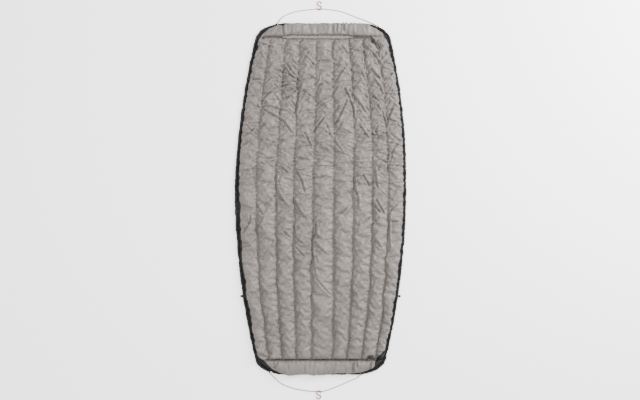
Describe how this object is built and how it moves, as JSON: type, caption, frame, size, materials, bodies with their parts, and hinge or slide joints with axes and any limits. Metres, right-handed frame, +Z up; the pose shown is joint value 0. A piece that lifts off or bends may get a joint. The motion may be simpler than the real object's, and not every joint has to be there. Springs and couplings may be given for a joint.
{
  "type": "hammock underquilt",
  "caption": "Full-length quilted underquilt for a hammock, lying flat: grey lengthwise chambers, black bound sides, elastic end cords with wire hooks.",
  "frame": {"origin": "middle of the quilt's underside on the floor, without the free cords and hooks", "axes": "+Y to the head end along its length, +X to the right seen from above, +Z up"},
  "size_m": [0.9765, 2.263, 0.0363],
  "materials": {
    "lining_cloth": "warm grey ripstop nylon, soft sheen",
    "shell_cloth": "black ripstop nylon, soft sheen",
    "baffle_mesh": "fine knitted mesh",
    "insulation": "loose down-like fill",
    "black_webbing": "woven black webbing",
    "grey_cord": "braided dark grey elastic cord",
    "black_cord": "braided black elastic cord",
    "black_plastic": "moulded black plastic",
    "red_anodised": "red anodised wire",
    "spring_steel": "bright spring wire"
  },
  "bodies": {
    "quilt": {"lining_panel": "lining_cloth", "shell_panel": "shell_cloth", "chamber_fill_1": "insulation", "chamber_fill_2": "insulation", "chamber_fill_3": "insulation", "chamber_fill_4": "insulation", "chamber_fill_5": "insulation", "chamber_fill_6": "insulation", "chamber_fill_7": "insulation", "chamber_fill_8": "insulation", "chamber_fill_9": "insulation", "baffle_wall_1": "baffle_mesh", "baffle_wall_2": "baffle_mesh", "baffle_wall_3": "baffle_mesh", "baffle_wall_4": "baffle_mesh", "baffle_wall_5": "baffle_mesh", "baffle_wall_6": "baffle_mesh", "baffle_wall_7": "baffle_mesh", "baffle_wall_8": "baffle_mesh", "end_fill_head": "insulation", "end_wall_head": "baffle_mesh", "end_binding_head": "shell_cloth", "draw_channel_head": "lining_cloth", "draw_cord_head": "black_cord", "draw_loop_head": "black_cord", "draw_cord_anchor_head": "black_webbing", "cord_lock_body_head": "black_plastic", "cord_lock_spring_head": "spring_steel", "suspension_cord_head": "grey_cord", "end_fill_foot": "insulation", "end_wall_foot": "baffle_mesh", "end_binding_foot": "shell_cloth", "draw_channel_foot": "lining_cloth", "draw_cord_foot": "black_cord", "draw_loop_foot": "black_cord", "draw_cord_anchor_foot": "black_webbing", "cord_lock_body_foot": "black_plastic", "cord_lock_spring_foot": "spring_steel", "suspension_cord_foot": "grey_cord", "side_channel_left": "shell_cloth", "side_cord_left": "grey_cord", "side_tab_left": "black_webbing", "side_channel_right": "shell_cloth", "side_cord_right": "grey_cord", "side_tab_right": "black_webbing", "corner_sleeve_head_left": "black_webbing", "corner_sleeve_head_right": "black_webbing", "corner_sleeve_foot_left": "black_webbing", "corner_sleeve_foot_right": "black_webbing"},
    "plunger_head": {"cord_lock_plunger_head": "black_plastic"},
    "hook_head": {"hook_head": "red_anodised"},
    "gate_head_upper": {"hook_gate_head_upper": "spring_steel"},
    "gate_head_lower": {"hook_gate_head_lower": "spring_steel"},
    "plunger_foot": {"cord_lock_plunger_foot": "black_plastic"},
    "hook_foot": {"hook_foot": "red_anodised"},
    "gate_foot_upper": {"hook_gate_foot_upper": "spring_steel"},
    "gate_foot_lower": {"hook_gate_foot_lower": "spring_steel"}
  },
  "joints": [
    {"name": "press_lock_head", "type": "slide", "parent": "quilt", "child": "plunger_head", "axis": [0, 0, -1], "range_m": [0, 0.003], "stiffness_N_per_m": 800, "springref_m": -0.002, "deforming": ["cord_lock_spring_head"]},
    {"name": "press_lock_foot", "type": "slide", "parent": "quilt", "child": "plunger_foot", "axis": [0, 0, -1], "range_m": [0, 0.003], "stiffness_N_per_m": 800, "springref_m": -0.002, "deforming": ["cord_lock_spring_foot"]},
    {"name": "swing_hook_head", "type": "hinge", "parent": "quilt", "child": "hook_head", "pos_m": [-0.007, 1.0881, 0.0041], "axis": [0.179, 0, 0.9838], "range_deg": [-20, 20]},
    {"name": "open_gate_head_upper", "type": "hinge", "parent": "hook_head", "child": "gate_head_upper", "pos_m": [0.00323, 1.0957, 0.00224], "axis": [0.179, 0, 0.9838], "range_deg": [0, 26], "stiffness_Nm_per_rad": 0.02, "springref_deg": -11.46},
    {"name": "open_gate_head_lower", "type": "hinge", "parent": "hook_head", "child": "gate_head_lower", "pos_m": [-0.01723, 1.1035, 0.00596], "axis": [0.179, 0, 0.9838], "range_deg": [0, 26], "stiffness_Nm_per_rad": 0.02, "springref_deg": -11.46},
    {"name": "swing_hook_foot", "type": "hinge", "parent": "quilt", "child": "hook_foot", "pos_m": [-0.011, -1.1031, 0.0041], "axis": [0.179, 0, 0.9838], "range_deg": [-20, 20]},
    {"name": "open_gate_foot_upper", "type": "hinge", "parent": "hook_foot", "child": "gate_foot_upper", "pos_m": [-0.00077, -1.1185, 0.00224], "axis": [0.179, 0, 0.9838], "range_deg": [0, 26], "stiffness_Nm_per_rad": 0.02, "springref_deg": -11.46},
    {"name": "open_gate_foot_lower", "type": "hinge", "parent": "hook_foot", "child": "gate_foot_lower", "pos_m": [-0.02123, -1.1107, 0.00596], "axis": [0.179, 0, 0.9838], "range_deg": [0, 26], "stiffness_Nm_per_rad": 0.02, "springref_deg": -11.46}
  ]
}
